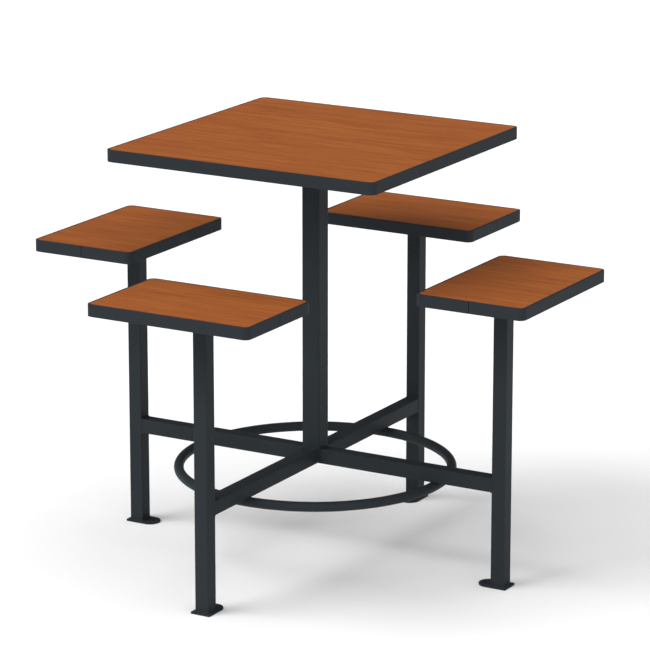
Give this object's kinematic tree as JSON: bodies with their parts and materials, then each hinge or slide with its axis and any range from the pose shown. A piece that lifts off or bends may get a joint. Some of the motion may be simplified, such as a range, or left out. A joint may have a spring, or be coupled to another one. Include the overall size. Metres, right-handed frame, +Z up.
{
  "type": "high table with attached swivel seats",
  "caption": "Square high table on a welded steel cross frame with a round foot ring; board seats on the legs turn on sprung spindles that bring them back to face the table.",
  "frame": {"origin": "on the floor under the middle of the table top", "axes": "+Z up, X and Y along the beams and the sides of the top; a seat stands on each half axis"},
  "size_m": [1.419, 1.419, 1.099],
  "materials": {
    "frame_paint": "satin charcoal powder coat",
    "cherry_laminate": "satin cherry wood-grain laminate",
    "edge_band": "matte charcoal vinyl",
    "board_core": "sealed wood-fibre board",
    "housing_nylon": "moulded black nylon",
    "bush_nylon": "turned natural acetal",
    "spring_steel": "oiled spring steel",
    "turned_steel": "turned bright steel",
    "screw_zinc": "bright zinc plate"
  },
  "bodies": {
    "frame": {"table_core": "board_core", "table_laminate": "cherry_laminate", "table_edge_band": "edge_band", "table_plate": "frame_paint", "table_screws": "screw_zinc", "column": "frame_paint", "cross_beam": "frame_paint", "beam_front": "frame_paint", "beam_back": "frame_paint", "foot_ring": "frame_paint", "leg_front": "frame_paint", "foot_plate_front": "frame_paint", "swivel_housing_front": "housing_nylon", "swivel_bushes_front": "bush_nylon", "return_spring_front": "spring_steel", "leg_right": "frame_paint", "foot_plate_right": "frame_paint", "swivel_housing_right": "housing_nylon", "swivel_bushes_right": "bush_nylon", "return_spring_right": "spring_steel", "leg_back": "frame_paint", "foot_plate_back": "frame_paint", "swivel_housing_back": "housing_nylon", "swivel_bushes_back": "bush_nylon", "return_spring_back": "spring_steel", "leg_left": "frame_paint", "foot_plate_left": "frame_paint", "swivel_housing_left": "housing_nylon", "swivel_bushes_left": "bush_nylon", "return_spring_left": "spring_steel"},
    "seat_front": {"seat_core_front": "board_core", "seat_laminate_front": "cherry_laminate", "seat_edge_band_front": "edge_band", "seat_plate_front": "frame_paint", "seat_screws_front": "screw_zinc", "spindle_front": "turned_steel", "retaining_ring_front": "spring_steel"},
    "seat_right": {"seat_core_right": "board_core", "seat_laminate_right": "cherry_laminate", "seat_edge_band_right": "edge_band", "seat_plate_right": "frame_paint", "seat_screws_right": "screw_zinc", "spindle_right": "turned_steel", "retaining_ring_right": "spring_steel"},
    "seat_back": {"seat_core_back": "board_core", "seat_laminate_back": "cherry_laminate", "seat_edge_band_back": "edge_band", "seat_plate_back": "frame_paint", "seat_screws_back": "screw_zinc", "spindle_back": "turned_steel", "retaining_ring_back": "spring_steel"},
    "seat_left": {"seat_core_left": "board_core", "seat_laminate_left": "cherry_laminate", "seat_edge_band_left": "edge_band", "seat_plate_left": "frame_paint", "seat_screws_left": "screw_zinc", "spindle_left": "turned_steel", "retaining_ring_left": "spring_steel"}
  },
  "joints": [
    {"name": "front_seat_swivel", "type": "hinge", "parent": "frame", "child": "seat_front", "pos_m": [0, -0.54, 0.753], "axis": [0, 0, 1], "range_deg": [-90, 90], "stiffness_Nm_per_rad": 1.6, "deforming": ["return_spring_front"]},
    {"name": "right_seat_swivel", "type": "hinge", "parent": "frame", "child": "seat_right", "pos_m": [0.54, 0, 0.753], "axis": [0, 0, 1], "range_deg": [-90, 90], "stiffness_Nm_per_rad": 1.6, "deforming": ["return_spring_right"]},
    {"name": "back_seat_swivel", "type": "hinge", "parent": "frame", "child": "seat_back", "pos_m": [0, 0.54, 0.753], "axis": [0, 0, 1], "range_deg": [-90, 90], "stiffness_Nm_per_rad": 1.6, "deforming": ["return_spring_back"]},
    {"name": "left_seat_swivel", "type": "hinge", "parent": "frame", "child": "seat_left", "pos_m": [-0.54, 0, 0.753], "axis": [0, 0, 1], "range_deg": [-90, 90], "stiffness_Nm_per_rad": 1.6, "deforming": ["return_spring_left"]}
  ]
}
